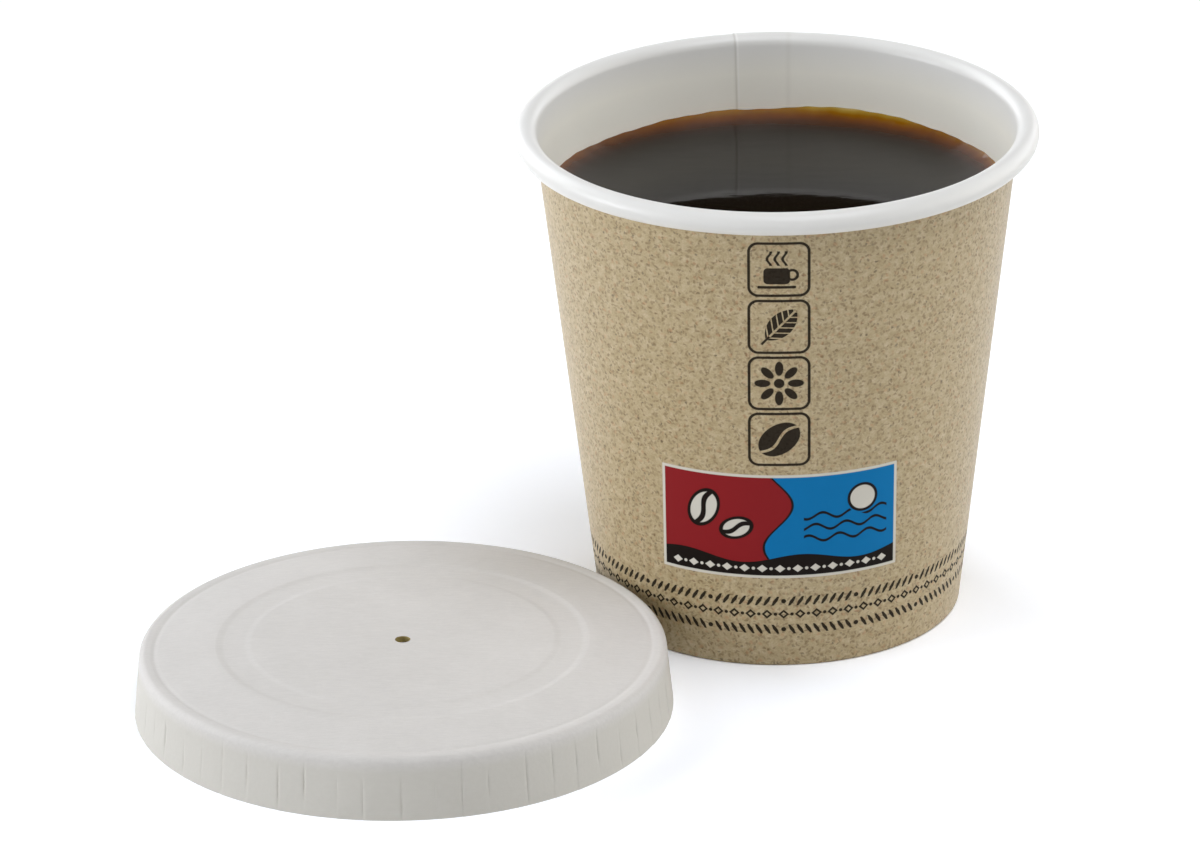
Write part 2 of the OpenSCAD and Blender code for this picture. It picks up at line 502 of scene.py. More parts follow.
# %% [markdown]
# Below the pictures is a panel with a thin pale border, in red, blue and near black. The
# three fields meet on curved lines, as hills, sea and shore would: two beans lie on the red,
# a sun stands over waves on the blue, and pale beads run along the dark shore. A bean has
# its place, half length, half width and lean, and a wave its height and phase.
# %% Colour panel
PANEL_S = -0.42
PANEL_Z = 18.9
PANEL_HALF_W = 14.6
PANEL_HALF_H = 6.95
PANEL_EDGE = 0.36
PANEL_CORNER = 0.12
FIELD_CORNER = 0.05
SHORE_Z = 14.6
MEETING_LINE = 0.28
MOTIF_LINE = 0.36
RED_BEANS = [(-9.6, 20.9, 2.5, 1.7, 65), (-5.6, 18.6, 1.9, 1.3, 20)]
SUN_AT = (9.6, 22.0)
SUN_R = 1.75
SUN_GAP = 0.35
SEA_WAVES = [(20.2, 0.0), (18.7, 1.4), (17.2, 2.8)]
BEAD_Z = 13.25
BEAD_PITCH = 2.1


def panel_fields(s, z):
    """Masks: the whole panel, its coloured part, the blue side, the shore and their lines."""
    whole = filled(panel(s, z, PANEL_S, PANEL_Z, PANEL_HALF_W, PANEL_HALF_H, PANEL_CORNER))
    inner_w = PANEL_HALF_W - PANEL_EDGE
    inner_h = PANEL_HALF_H - PANEL_EDGE
    colours = filled(panel(s, z, PANEL_S, PANEL_Z, inner_w, inner_h, FIELD_CORNER))
    meeting = s - (PANEL_S - 0.2) - ((z - PANEL_Z) * 0.55).math("SINE") * 1.7
    shore = z - SHORE_Z - (s * 0.44 + 0.6).math("SINE") * 0.55
    meeting_line = filled(stroke(meeting, MEETING_LINE)) * filled(-shore) * colours
    return whole, colours, filled(-meeting), filled(shore), meeting_line


def red_motifs(s, z):
    beans = either(*[bean(s, z, *place_and_size) for place_and_size in RED_BEANS])
    return beans, stroke(beans, MOTIF_LINE)


def blue_motifs(s, z):
    sun = disc(s, z, *SUN_AT, SUN_R)
    waves = []
    for level, phase in SEA_WAVES:
        crest = (s * 1.7 + phase).math("SINE") * 0.4
        waves.append(abs(z - level - crest) - MOTIF_LINE / 2)
    at_sea = both(either(*waves), abs(s - 7.6) - 5.2, -(sun - SUN_GAP))
    return sun, either(at_sea, stroke(sun, MOTIF_LINE))


def shore_beads(s, z):
    number, u = repeated(s - PANEL_S, BEAD_PITCH)
    bead = abs(u) * 0.8 + abs(z - BEAD_Z) - 0.5
    number, between_beads = repeated(s - PANEL_S, BEAD_PITCH, 0.5)
    dot = disc(between_beads, z, 0.0, BEAD_Z, 0.2)
    return filled(either(bead, dot)) * filled(abs(s - PANEL_S) - 13.2)


print(f"panel {2 * PANEL_HALF_W:.1f} by {2 * PANEL_HALF_H:.1f} mm")

# %% [markdown]
# Three ornament rows run round the foot: a twisted cord, a chain of lozenges with dots, and
# a cord twisted the other way. Each is one small shape that comes back at an even pitch, so
# one function draws both cords and one the chain. In a cord, every ninth shape is a bead.
# %% Ornament rows
ROW_Z = [8.83, 7.05, 5.0]
ROW_HALF_H = 0.62
ROW_PITCH = 0.98
ROW_ENDS = 172
ROW_END_SOFT = 0.01
CORD_LEAN = 0.55
BEAD_EVERY = 9
LOZENGE_LINE = 0.34


def cord_row(s, z, row_z, lean):
    """Slanted leaf shapes at an even pitch, with a round bead in place of every ninth."""
    number, u = repeated(s, ROW_PITCH)
    v = z - row_z
    strand = abs(u - v * lean) + abs(v) * 0.22 - 0.27
    strand = both(strand, abs(v) - ROW_HALF_H)
    bead = length(u, v) - 0.3
    at_bead = number.math("FLOORED_MODULO", BEAD_EVERY).math("LESS_THAN", 0.5)
    return bead * at_bead + strand * (1 - at_bead)


def lozenge_row(s, z, row_z):
    number, u = repeated(s, ROW_PITCH * 2)
    lozenge = abs(u) * 0.95 + abs(z - row_z) - ROW_HALF_H
    hollow = both(lozenge, -(lozenge + LOZENGE_LINE))
    number, between_lozenges = repeated(s, ROW_PITCH * 2, 0.5)
    return either(hollow, disc(between_lozenges, z, 0.0, row_z, 0.22))


def foot_rows(s, z, angle):
    upper = cord_row(s, z, ROW_Z[0], CORD_LEAN)
    chain = lozenge_row(s, z, ROW_Z[1])
    lower = cord_row(s, z, ROW_Z[2], -CORD_LEAN)
    printed = filled(either(upper, chain, lower))
    return printed * filled(abs(angle) - math.radians(ROW_ENDS), ROW_END_SOFT)


print(f"{len(ROW_Z)} ornament rows, {2 * ROW_HALF_H:.1f} mm high")

# %% [markdown]
# The kraft ground imitates recycled board: a tan tone with many short flecks in all
# directions, a few reddish ones and a few near-black dots. Each fleck sits in its own
# Voronoi cell, because the cell's random colour can choose the fleck's turn and darkness.
# A slow noise bends the flecks a little, so that they look like fibres and not like print.
# A layer says how many cells there are to the millimetre, the half length and half width of
# a fleck, the share of cells with one, its strength and tone, and the shift of the cells.
# %% Flecks of the kraft ground
KRAFT_TONES = [
    (0.32, srgb(160, 138, 97)),
    (0.5, srgb(183, 164, 125)),
    (0.68, srgb(204, 188, 152)),
]
FLECK_BROWN = srgb(110, 84, 42)
FLECK_RED = srgb(184, 120, 72)
FLECK_DARK = srgb(62, 48, 26)
FLECK_LAYERS = [
    (1.45, 0.25, 0.13, 0.85, 0.62, FLECK_BROWN, (0, 0, 0)),
    (1.2, 0.22, 0.15, 0.7, 0.5, FLECK_BROWN, (31.7, 12.3, 0)),
    (0.85, 0.3, 0.19, 0.5, 0.3, FLECK_RED, (11.1, 47.9, 0)),
    (0.85, 0.17, 0.13, 0.42, 0.6, FLECK_DARK, (71.3, 5.9, 0)),
]
FIBRE_BEND = 0.55


def new_material(name):
    material = bpy.data.materials.new(name)
    material.use_nodes = True
    material.node_tree.nodes.clear()
    return material, Board(material.node_tree)


def finish_material(board, inputs, bump, strength, depth):
    """One shader with its inputs and a bump, whose depth is in mm."""
    relief = {"Height": bump, "Strength": strength, "Distance": depth * MM}
    inputs["Normal"] = board.add("ShaderNodeBump", {}, relief)
    shader = board.add("ShaderNodeBsdfPrincipled", {}, inputs)
    board.add("ShaderNodeOutputMaterial", {}, {"Surface": shader})


def flecks(board, flat, per_mm, half_long, half_wide, share):
    """One short fleck in each cell of the flat pattern, turned at random; share of 0 to 1."""
    settings = {"voronoi_dimensions": "2D", "feature": "F1"}
    inputs = {"Vector": flat, "Scale": per_mm, "Randomness": 1.0}
    cell = board.add("ShaderNodeTexVoronoi", settings, inputs)
    luck = board.add("ShaderNodeSeparateColor", {}, [cell.out("Color")])
    away = board.vector("SUBTRACT", flat, cell.out("Position"))
    turn = {"Vector": away, "Center": (0, 0, 0), "Angle": luck * (2 * math.pi)}
    away = board.add("ShaderNodeVectorRotate", {"rotation_type": "Z_AXIS"}, turn)
    away = board.scaled(away, 1 / half_long, 1 / half_wide, 0)
    reach = board.vector("LENGTH", away, (0, 0, 0))
    shape = ((1.15 - reach) * 2.2).clamped()
    present = luck.out("Green").math("LESS_THAN", share)
    return shape * present * (luck.out("Blue") * 0.6 + 0.4)


def kraft_ground(board, s, z):
    flat = board.add("ShaderNodeCombineXYZ", {}, [s, z, 0.0])
    bend = board.noise(flat, 1.6, 2.0, out="Color")
    bend = board.vector("SUBTRACT", bend, (0.5, 0.5, 0.5))
    bent = board.vector("ADD", flat, board.scaled(bend, FIBRE_BEND, FIBRE_BEND, 0))
    cloud = board.noise(flat, 0.9, 4.0, 0.65)
    grain = board.noise(flat, 4.0, 3.0, 0.65)
    colour = board.ramp(cloud * 0.6 + grain * 0.4, KRAFT_TONES)
    for per_mm, half_long, half_wide, share, strength, tone, shift in FLECK_LAYERS:
        shifted = board.vector("ADD", bent, shift)
        layer = flecks(board, shifted, per_mm, half_long, half_wide, share)
        colour = board.mix(layer * strength, colour, tone)
    return colour, grain


print(f"kraft: {len(FLECK_LAYERS)} layers of flecks on a tan ground")

# %% [markdown]
# Ink goes over the ground in the order of printing: dark ink for pictures and rows, then the
# panel's white, red and blue. At the seam the raw cut edge of the outer layer is a thin darker
# line, its tone darkened further as painted shade of the step there. The bare kraft ground
# keeps a thin varnish with a satin shine, and the ink drinks it up, so printed parts look flatter.
# %% Printed kraft finish
INK = srgb(20, 12, 7)
INK_COVER = 0.96
PANEL_WHITE = srgb(214, 210, 198)
RAW_EDGE_AND_SHADE_TONE = srgb(120, 104, 74)
RAW_EDGE_AND_SHADE_LINE = 0.14
RAW_EDGE_AND_SHADE_COVER = 0.7
VARNISH = 0.85
PANEL_RED = srgb(140, 30, 34)
PANEL_BLUE = srgb(6, 118, 178)


def printed_kraft():
    material, board = new_material("printed_kraft")
    s, z, angle = print_coordinates(board)
    colour, grain = kraft_ground(board, s, z)
    ink = framed_pictures(s, z).math("MAXIMUM", foot_rows(s, z, angle))
    colour = board.mix(ink * INK_COVER, colour, INK)
    # The raw cut edge, in a tone darkened as painted shade of the seam's step.
    to_cut = (CUT_FROM_FRONT - angle) * WALL_TOP_R
    raw_edge_and_shade = filled(to_cut - RAW_EDGE_AND_SHADE_LINE) * RAW_EDGE_AND_SHADE_COVER
    colour = board.mix(raw_edge_and_shade, colour, RAW_EDGE_AND_SHADE_TONE)
    whole, colours, blue_side, shore, lines = panel_fields(s, z)
    fields = board.mix(blue_side, PANEL_RED, PANEL_BLUE)
    beans, bean_lines = red_motifs(s, z)
    sun, sea_lines = blue_motifs(s, z)
    pale = filled(either(beans, sun))
    fields = board.mix(pale, fields, PANEL_WHITE)
    dark = filled(either(bean_lines, sea_lines))
    fields = board.mix(combined("MAXIMUM", [dark, lines, shore]), fields, INK)
    fields = board.mix(shore_beads(s, z), fields, PANEL_WHITE)
    colour = board.mix(whole, colour, board.mix(colours, PANEL_WHITE, fields))
    printed = ink.math("MAXIMUM", whole)
    inputs = {"Base Color": colour, "Roughness": 0.6, "IOR": 1.2}
    inputs.update({"Coat Weight": (1 - printed) * VARNISH, "Coat Roughness": 0.45})
    finish_material(board, inputs, grain, 0.1, 0.05)
    return material


kraft = printed_kraft()
print("printed kraft:", len(kraft.node_tree.nodes), "nodes")

# %% [markdown]
# The inside of the cup and its rolled rim are the other face of the same board: white, with
# a thin sealing film that gives a soft shine. The film is stretched over the roll, so it is
# a little greyer there. Where the inner layer is cut at the seam, the raw edge is a thin
# darker line, darkened further as painted shade of its step, with a painted highlight beside
# it, and a faint broad darker line runs over the outer layer's edge.
# The lid is bare pulp board, so it is matt, and short fibres show on it as faint strokes.
# Its skirt is painted darker and warmer than its top, as painted shade, and the brown core of
# its board shows only where the vent hole is punched.
# %% White film, lid board and its core
ROLL_FROM = CUP_H - 4.5
ROLL_FADE = 3.0
# Each seam line has its angle in degrees, half width in mm, strength and tone: the raw cut edge with
# painted shade, a painted highlight beside it, and the faint line over the outer edge.
SEAM_LINES_AND_PAINTED_LIGHT = [
    (INNER_CUT_AT, 0.19, 0.3, srgb(150, 142, 122)),
    (INNER_CUT_AT - 0.6, 0.16, 0.5, srgb(252, 251, 246)),
    (CUT_EDGE_AT, 0.5, 0.12, srgb(190, 186, 172)),
]
SKIRT_SHADE_FROM = 5.6
SKIRT_SHADE_FADE = 1.2
SKIRT_SHADE_COVER = 0.6
SKIRT_SHADE_TONE = srgb(198, 195, 184)
LID_TONES = [(0.3, srgb(202, 199, 194)), (0.5, srgb(208, 205, 200)), (0.7, srgb(214, 211, 206))]


def white_film():
    material, board = new_material("white_film")
    spot = object_mm(board)
    x, y, z = board.split(spot)
    turn = y.math("ARCTAN2", x)
    broad = board.noise(spot, 0.1, 2.0)
    tooth = board.noise(spot, 2.5, 3.0)
    inside = board.mix(broad, srgb(242, 239, 227), srgb(248, 246, 236))
    rolled = board.mix(broad, srgb(222, 221, 216), srgb(232, 231, 227))
    on_roll = ((z - ROLL_FROM) / ROLL_FADE).clamped()
    colour = board.mix(on_roll, inside, rolled)
    on_wall = z.math("GREATER_THAN", HEM_H + 1)
    # The seam lines, with painted shade at the cut edge and a painted highlight beside it.
    for at, width, strength, tone in SEAM_LINES_AND_PAINTED_LIGHT:
        off = (turn - math.radians(at)) * WALL_TOP_R
        seam_line_and_light = (1 - abs(off) / width).clamped() * on_wall
        colour = board.mix(seam_line_and_light * strength, colour, tone)
    finish_material(board, {"Base Color": colour, "Roughness": 0.34, "IOR": 1.45}, tooth, 0.05, 0.04)
    return material


def lid_pulp():
    material, board = new_material("lid_pulp")
    spot = object_mm(board)
    strokes = board.noise(board.scaled(spot, 0.7, 4.2, 2.0), 1.0, 4.0, 0.6)
    specks = board.noise(spot, 3.2, 2.0, 0.6)
    cloud = board.noise(spot, 0.16, 2.0)
    colour = board.ramp(strokes * 0.55 + specks * 0.2 + cloud * 0.25, LID_TONES)
    # Painted shade: the skirt below the top's corner is mixed towards a darker, warmer tone.
    skirt_shade = 1 - ((board.split(spot)[2] - SKIRT_SHADE_FROM) / SKIRT_SHADE_FADE).clamped()
    colour = board.mix(skirt_shade * SKIRT_SHADE_COVER, colour, SKIRT_SHADE_TONE)
    finish_material(board, {"Base Color": colour, "Roughness": 0.75}, strokes, 0.22, 0.06)
    return material


def board_core():
    material, board = new_material("board_core")
    fibres = board.noise(board.scaled(object_mm(board), 2.0, 2.0, 9.0), 1.2, 3.0)
    colour = board.mix(fibres, srgb(158, 140, 82), srgb(196, 178, 118))
    finish_material(board, {"Base Color": colour, "Roughness": 0.9}, fibres, 0.3, 0.05)
    return material


film = white_film()
pulp = lid_pulp()
core = board_core()
print("finishes:", film.name, pulp.name, core.name)

# %% [markdown]
# Black coffee is nearly opaque a few millimetres deep and clear where it is thin, so it goes
# from near black to amber and gold where it climbs the white wall. A true liquid volume would
# do this too, but slowly and with noise, so the colour is read from the height of the climb,
# and it stays darker at the sides, where the way through the coffee to the wall is longer.
# Fine solids stick to the wall in runs, so the golden line is broader in some places.
# The rest of its look is the mirror image of the cup's inside, which a smooth skin gives.
# %% Coffee finish
BELOW_RIM = 10.4
COFFEE_Z = CUP_H - BELOW_RIM
MENISCUS_H = coffee_high.z - COFFEE_Z
MENISCUS_W = 2.5
SIDE_DARKNESS = 1.0
RUNS = 0.2
STREAKS = 0.08
COFFEE_TONES = [
    (0.0, srgb(23, 17, 10)),
    (0.16, srgb(34, 19, 7)),
    (0.34, srgb(66, 32, 4)),
    (0.52, srgb(100, 54, 2)),
    (0.7, srgb(128, 82, 6)),
    (0.86, srgb(152, 122, 46)),
    (1.0, srgb(178, 156, 100)),
]


def coffee_liquid():
    material, board = new_material("coffee_liquid")
    spot = object_mm(board)
    x, y, height = board.split(spot)
    backness = (y / length(x, y)).math("MAXIMUM", 0.0)
    streaks = board.noise(board.scaled(spot, 0.5, 1.4, 0.0), 0.35, 3.0)
    runs = board.noise(board.scaled(spot, 1.0, 1.0, 0.3), 0.45, 1.0, 0.5)
    climb = (height - COFFEE_Z) / MENISCUS_H
    climb = climb * (1 + (runs - 0.5) * RUNS) + (streaks - 0.5) * STREAKS
    thin = climb.math("MAXIMUM", 0.0).math("POWER", 1 + (1 - backness) * SIDE_DARKNESS)
    colour = board.ramp(thin, COFFEE_TONES)
    inputs = {"Base Color": colour, "Roughness": 0.05, "IOR": 1.35}
    finish_material(board, inputs, streaks, 0.09, 0.12)
    return material


coffee_finish = coffee_liquid()
print(f"coffee stands at {COFFEE_Z:.1f} mm and climbs {MENISCUS_H:.1f} mm at the wall")

# %% [markdown]
# The wall's section follows the middle of the board: down from the hem's edge to the fold at
# the foot, up the wall, and round the rolled rim to its tail. Half the thickness to each
# side of that line gives the printed face and the white face. At the seam the printed face
# is pushed out by the second layer, and the white face steps back beside the inner cut edge.
# %% Section of the wall
LAP_STEP = 0.2
INNER_STEP = 0.12
RIM_STEP = 0.06
RIM_BLEND = 6
CURL_TAIL = -121.0


def along_wall(u, v):
    c, n = math.cos(LEAN), math.sin(LEAN)
    return (FOOT_R + u * c + (v + FOLD_UP) * n, -u * n + (v + FOLD_UP) * c)


def middle_line():
    hem = [along_wall(-FOLD_W + BOARD / 2, v) for v in (HEM_H, HEM_H * 0.66, HEM_H * 0.33)]
    fold = [along_wall(u, v) for u, v in arc(-FOLD_W / 2, 0, (FOLD_W - BOARD) / 2, 180, 360, 12)]
    curl = arc(CURL_X, CURL_Z, CURL_R - BOARD / 2, 180 - math.degrees(LEAN), CURL_TAIL, 30)
    return hem, fold, line(fold[-1], curl[0], 14)[1:], curl


def sides(points):
    """Both faces of the board, and the unit normals towards the printed one."""
    normals = []
    for i in range(len(points)):
        before, after = points[max(i - 1, 0)], points[min(i + 1, len(points) - 1)]
        along = Vector((after[0] - before[0], after[1] - before[1])).normalized()
        normals.append(Vector((along.y, -along.x)))
    half = BOARD / 2
    front = [(p[0] + n.x * half, max(p[1] + n.y * half, 0.0)) for p, n in zip(points, normals)]
    back = [(p[0] - n.x * half, p[1] - n.y * half) for p, n in zip(points, normals)]
    return front, back, normals


def seam_pushes(normals, first_rise, first_curl):
    """How far the second layer moves each point of the printed face, then of the white face."""
    zero = Vector((0, 0))
    printed = [n * LAP_STEP if first_rise <= i < first_curl else zero for i, n in enumerate(normals)]
    on_curl = [smooth_step(first_curl, first_curl + RIM_BLEND, i) for i in range(len(normals))]
    on_wall = [float(i >= first_rise) * (1 - curl) for i, curl in enumerate(on_curl)]
    recess = [n * (INNER_STEP * share) for n, share in zip(normals, on_wall)]
    rim = [n * (-RIM_STEP * share) for n, share in zip(normals, on_curl)]
    still = [zero] * len(normals)
    return {"lap": printed + still, "recess": still + recess[::-1], "rim": still + rim[::-1]}


hem, fold, rise, curl = middle_line()
printed_face, white_face, face_normals = sides(hem + fold + rise + curl)
first_rise = len(hem) + len(fold)
first_curl = first_rise + len(rise)
pushes = seam_pushes(face_normals, first_rise, first_curl)
wall_points = printed_face + white_face[::-1]
wall_section = section_mesh("cup_wall_board", wall_points, pushes, range(first_curl + 1))
print(f"wall section: {len(wall_points)} points, printed up to {printed_face[first_curl][1]:.1f} mm")

# %% [markdown]
# The seam's strengths depend only on the direction round the cup. The lap is full between
# its cut edges and fades where the outer layer comes down to the wall. On the inside only
# one cut edge shows, as a fine upright line, and it runs on over the rolled rim.
# %% Turn the wall
WALL_COLUMNS = 720
LAP_FADE = 4.0
RECESS_FADE = 8.0
CUT_SOFT = 0.5


def between(angle, low, high, soft_low, soft_high):
    """1 between two directions in degrees, with a soft change of the given width at each."""
    at = angle * (180 / math.pi)
    rising = ((at - low) / soft_low).math("ADD", 0.5, clamp=True)
    falling = ((high - at) / soft_high).math("ADD", 0.5, clamp=True)
    return rising * falling


def lap_strength(board, angle, column, given):
    fade = given.out("Lap fade")
    return between(angle, CUT_EDGE_AT, INNER_CUT_AT + LAP_FADE / 2, CUT_SOFT, fade)


def recess_strength(board, angle, column, given):
    fade = given.out("Recess fade")
    return between(angle, INNER_CUT_AT, INNER_CUT_AT + RECESS_FADE / 2, CUT_SOFT, fade)


def rim_strength(board, angle, column, given):
    return between(angle, CUT_EDGE_AT, INNER_CUT_AT, LAP_FADE, CUT_SOFT)


wall_strengths = {"lap": lap_strength, "recess": recess_strength, "rim": rim_strength}
wall_sizes = {"Lap fade": LAP_FADE, "Recess fade": RECESS_FADE}
wall_tree = turning_tree("turn_wall", strengths=wall_strengths, sizes=wall_sizes, closed=True)
cup_wall = turned(wall_section, wall_tree, WALL_COLUMNS, film, kraft, wall_sizes)
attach(cup_wall, "root")
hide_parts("cup_wall")

# %% [markdown]
# The base disc sits a little above the table, with its flange turned down into the fold of
# the wall. It only shows from below. Its section is short, and the same tree turns it.
# %% Base disc
BEND_R = 0.6
BASE_RISE = 0.1
HEM_TOP = (FOLD_UP + HEM_H) * math.cos(LEAN) + FOLD_W * math.sin(LEAN)
BASE_Z = HEM_TOP + BASE_RISE + BEND_R - BASE_BOARD
BASE_TOP = BASE_Z + BASE_BOARD
BASE_COLUMNS = 180


def base_section():
    skin = (BOARD + SEAL) / math.cos(LEAN)
    flange = BASE_BOARD / math.cos(LEAN)
    low = FOLD_UP * math.cos(LEAN) + FOLD_W * math.sin(LEAN) + SEAL
    bend_x = wall_r(BASE_TOP) - skin - BEND_R * (1 + math.sin(LEAN)) / math.cos(LEAN)
    bend_z = BASE_TOP - BEND_R
    outer = wall_r(low) - skin
    lean = -math.degrees(LEAN)
    return (
        line((0, BASE_TOP), (bend_x, BASE_TOP), 6)
        + arc(bend_x, bend_z, BEND_R, 90, lean, 8)
        + [(outer, low), (outer - flange, low)]
        + arc(bend_x, bend_z, BEND_R - BASE_BOARD, lean, 90, 8)
        + [(bend_x / 2, BASE_Z), (0, BASE_Z)]
    )


plain_tree = turning_tree("turn_plain")
cup_base = turned(section_mesh("cup_base_disc", base_section(), {}), plain_tree, BASE_COLUMNS, film)
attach(cup_base, "root")
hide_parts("cup_base")

# %% [markdown]
# The coffee fills the cup from the base disc to its level and climbs the wall by about two
# millimetres, as a liquid that wets the film does. The line where it stops is never quite
# even, so its height is pushed up and down a little by a few waves round the cup.
# %% Coffee surface
COFFEE_GAP = 0.05
COFFEE_COLUMNS = 480
CLIMB_STEPS = 24
CLIMB_REACH = 4
EDGE_WAVE = 0.17
EDGE_WAVES = [(3, 0.4, 0.9), (8, 2.1, 0.5), (23, 1.3, 0.25), (57, 0.0, 0.15)]
EDGE_MEAN = 1.65


def coffee_section():
    side = COFFEE_GAP / math.cos(LEAN)
    low = BASE_TOP + COFFEE_GAP
    high = COFFEE_Z + MENISCUS_H
    foot = inner_r(low) - side
    edge = inner_r(high) - side
    climb = []
    for i in range(CLIMB_STEPS + 1):
        t = i / CLIMB_STEPS
        inward = CLIMB_REACH * MENISCUS_W * t * (2 * t + 1) / 3
        rise = MENISCUS_H * math.exp(-inward / MENISCUS_W) * (1 - t ** 3)
        climb.append((edge - inward, COFFEE_Z + rise))
    level = line(climb[-1], (0, COFFEE_Z), 10)[1:] + [(0, COFFEE_Z)]
    points = [(0, low)] + line((foot, low), (edge, high), 8) + climb + level
    wave = [(0, -EDGE_WAVE * (max(z - COFFEE_Z, 0) / MENISCUS_H) ** 2) for r, z in points]
    return section_mesh("coffee_surface", points, {"wave": wave})


def contact_wave(board, angle, column, given):
    """Waves of a count, a phase and a height, and a lower stretch that starts at the seam."""
    drop = between(angle, SEAM_AT - 8, SEAM_AT + 90, 7, 60) * 2.0 + EDGE_MEAN
    for count, phase, height in EDGE_WAVES:
        drop = drop + (angle * count + phase).math("SINE") * height
    return drop


coffee_tree = turning_tree("turn_coffee", strengths={"wave": contact_wave})
coffee = turned(coffee_section(), coffee_tree, COFFEE_COLUMNS, coffee_finish)
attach(coffee, "root")
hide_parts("coffee")

# %% [markdown]
# The lid is pressed from one blank: a slightly raised middle with a shallow channel pressed
# round it, a crease just inside the edge, a tight corner, and a skirt that flares to its
# mouth. The vent is punched from above, so its edge is turned down a little and shows the
# brown core of the board. Fold lines run in three parts of the skirt's height.
# %% Section of the lid
LID_H = 7.5
LID_BOARD = 0.35
LID_CROWN = 0.8
LID_CORNER = 0.8
MOUTH_R = (lid_high.x - lid_low.x) / 2
SKIRT_FLARE = 0.7
SKIRT_R = MOUTH_R - SKIRT_FLARE
VENT_R = 0.9
VENT_LIP = 0.4
CORNER_X = SKIRT_R - LID_CORNER
CORNER_Z = LID_H - LID_CORNER
CHANNEL_IN = 17.6
CHANNEL_OUT = 22.0
CHANNEL_DEPTH = 0.1
CHANNEL_DROP = 0.1
PRESS_W = 1.1
CREASE_R = CORNER_X - 1.0
CREASE_DEPTH = 0.07
CREASE_W = 0.3
CREASE_REACH = 0.8
PLEAT_FOLD = 0.03
FOLD_TOP = 0.9
LINE_PARTS = {"high": (0.68, 0.88), "middle": (0.36, 0.68), "low": (0.1, 0.36)}
PART_SOFT = 0.12


def lid_top_z(r):
    fall = max((r - CHANNEL_OUT) / (CREASE_R - CREASE_W - CHANNEL_OUT), 0)
    middle = LID_CROWN - CHANNEL_DROP * smooth_step(CHANNEL_IN, CHANNEL_OUT, r)
    crown = middle * max(1 - fall, 0)
    pressed = smooth_step(CHANNEL_IN, CHANNEL_IN + PRESS_W, r)
    pressed -= smooth_step(CHANNEL_OUT - PRESS_W, CHANNEL_OUT, r)
    crease = math.exp(-(((r - CREASE_R) / CREASE_W) ** 2))
    return LID_H + crown - CHANNEL_DEPTH * pressed - CREASE_DEPTH * crease


def lid_radii():
    stops = [(VENT_R, 6), (CHANNEL_IN, 7), (CHANNEL_IN + PRESS_W, 3), (CHANNEL_OUT - PRESS_W, 7)]
    stops += [(CHANNEL_OUT, 6), (CREASE_R - CREASE_REACH, 14), (CORNER_X, 0)]
    radii = []
    for (low, steps), (high, _) in zip(stops, stops[1:]):
        radii += [low + (high - low) * i / steps for i in range(steps)]
    return radii


def skirt_share(z, low, high):
    """1 in the part of the skirt between two shares of its height, fading at both ends."""
    at = z / CORNER_Z
    below = smooth_step(high - PART_SOFT, high + PART_SOFT, at)
    return smooth_step(low - PART_SOFT, low + PART_SOFT, at) * (1 - below)


def lid_section():
    top = [(r, lid_top_z(r)) for r in lid_radii()]
    corner = arc(CORNER_X, CORNER_Z, LID_CORNER, 90, 0, 8)
    mouth = MOUTH_R - PLEAT_FOLD
    outside = top + corner + line(corner[-1], (mouth, 0), 14)[1:] + [(mouth, 0)]
    under = [(r, z - LID_BOARD) for r, z in top[1:]]
    inner_corner = arc(CORNER_X, CORNER_Z, LID_CORNER - LID_BOARD, 90, 0, 5)
    inside = under + inner_corner + [(MOUTH_R - LID_BOARD, 0)]
    lip_z = top[0][1] - LID_BOARD - VENT_LIP
    lip = [(VENT_R + LID_BOARD, lip_z + VENT_LIP), (VENT_R + 0.18, lip_z), (VENT_R, lip_z)]
    points = outside + inside[::-1] + lip
    pushes = {"folds": [], **{part: [] for part in LINE_PARTS}}
    for i, (r, z) in enumerate(points):
        outer = float(r > CORNER_X and i < len(outside))
        pushes["folds"].append((outer * skirt_share(z, -1, FOLD_TOP), 0))
        for part, (low, high) in LINE_PARTS.items():
            pushes[part].append((-outer * skirt_share(z, low, high), 0))
    return section_mesh("lid_board", points, pushes, (0, len(points) - 1))


print(f"lid section from a {2 * VENT_R:.1f} mm vent to a {2 * MOUTH_R:.1f} mm mouth")

# %% [markdown]
# Board can't shrink where it turns down, so the spare is gathered in pleats, each ending in
# a fine fold line. Each pleat gets twelve columns, crowded towards its line, so the line is
# crisp with few faces. Lines stand a little off their even places, and each one is deep,
# faint or missing by chance in the upper, middle and lower part of the skirt, where its
# depth is drawn between two values with that part's own seed.
# %% Pleat the skirt and turn the lid
PLEATS = 54
PLEAT_COLUMNS = 12
PLEAT_STEP = 360 / PLEATS
PLEAT_LINE = 0.16
PLEAT_DEPTH = 0.13
PLEAT_SWING = 1.2
PLEAT_SEED = 7
FOLD_SEED = 23
FOLD_RISE_W = 0.1
FOLD_REACH = 1.7
LINE_DRAWS = {"high": (-1.0, 0.9, 3), "middle": (0.2, 1.2, 5), "low": (-0.3, 1.1, 11)}


def chance(board, number, low, high, seed):
    inputs = {2: low, 3: high, 7: number, 8: seed}
    return board.add("FunctionNodeRandomValue", {"data_type": "FLOAT"}, inputs, out=1)


def pleat_parts(board, column):
    """The pleat's number, the place across it from -0.5 to 0.5, and its line's swing."""
    number = (column / PLEAT_COLUMNS).math("FLOOR")
    across = (column - number * PLEAT_COLUMNS) / PLEAT_COLUMNS - 0.5
    return number, across, chance(board, number, -PLEAT_SWING, PLEAT_SWING, PLEAT_SEED)


def from_line(across, swing):
    """Degrees from the pleat's even place: crowded columns, shifted most at the line."""
    crowded = across * 0.12 + across * across * across * 3.52
    return crowded * PLEAT_STEP, swing * (1 - across * across * 4)


def pleated_angle(board, column, given):
    number, across, swing = pleat_parts(board, column)
    crowded, shift = from_line(across, swing)
    return ((number + 0.5) * PLEAT_STEP + crowded + shift) * (math.pi / 180)


